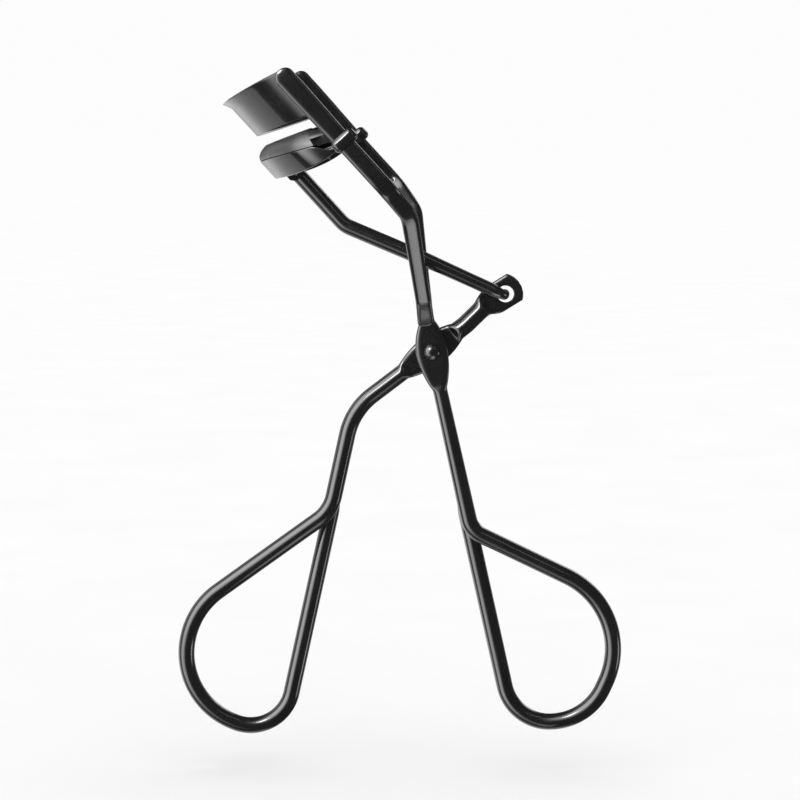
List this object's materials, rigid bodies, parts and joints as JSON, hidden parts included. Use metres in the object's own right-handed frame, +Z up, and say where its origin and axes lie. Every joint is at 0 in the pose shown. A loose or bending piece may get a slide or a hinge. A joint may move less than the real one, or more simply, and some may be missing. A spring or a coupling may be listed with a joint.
{
  "type": "eyelash curler",
  "caption": "Scissor-action lash curler in black wire: crossed finger loops, and a curved pad jaw that slides on two rails to a fixed curved jaw.",
  "frame": {"origin": "centre of the bounding box of the whole tool, with the handles as pictured and the jaws a little apart", "axes": "+Z up from the finger loops to the jaws, +Y from the front, where the rivet's domed head is, to the back, across the tool's thin way, +X to the right seen from the front, towards the lever's eye"},
  "size_m": [0.0708, 0.0356, 0.1061],
  "materials": {
    "black_paint": "high-gloss black enamel",
    "black_silicone": "smooth satin"
  },
  "bodies": {
    "frame": {"frame_handle": "black_paint", "front_guide_rail": "black_paint", "back_guide_rail": "black_paint", "upper_jaw_plate": "black_paint", "pivot_rivet": "black_paint", "pivot_spacer": "black_paint", "rivet_washer": "black_paint"},
    "lever": {"lever_handle": "black_paint"},
    "jaw": {"lower_jaw_holder": "black_paint", "silicone_pad": "black_silicone", "front_slide_collar": "black_paint", "back_slide_collar": "black_paint", "link_bracket": "black_paint", "link_pin": "black_paint"},
    "link": {"link_rod": "black_paint"}
  },
  "joints": [
    {"name": "lever_hinge", "type": "hinge", "parent": "frame", "child": "lever", "pos_m": [0.00531, 0, 0.00879], "axis": [0, -1, 0], "range_deg": [-28, 8.5]},
    {"name": "jaw_slide", "type": "slide", "parent": "frame", "child": "jaw", "axis": [-0.6762, 0, 0.7367], "range_m": [-0.007, 0.002]},
    {"name": "link_hinge", "type": "hinge", "parent": "jaw", "child": "link", "pos_m": [-0.0163, 0, 0.03714], "axis": [0, -1, 0], "range_deg": [-4, 1.5]}
  ],
  "couplings": [
    {"joint": "jaw_slide", "follows": "lever_hinge", "m_per_rad": 0.01275},
    {"joint": "link_hinge", "follows": "lever_hinge", "ratio": 0.1}
  ]
}
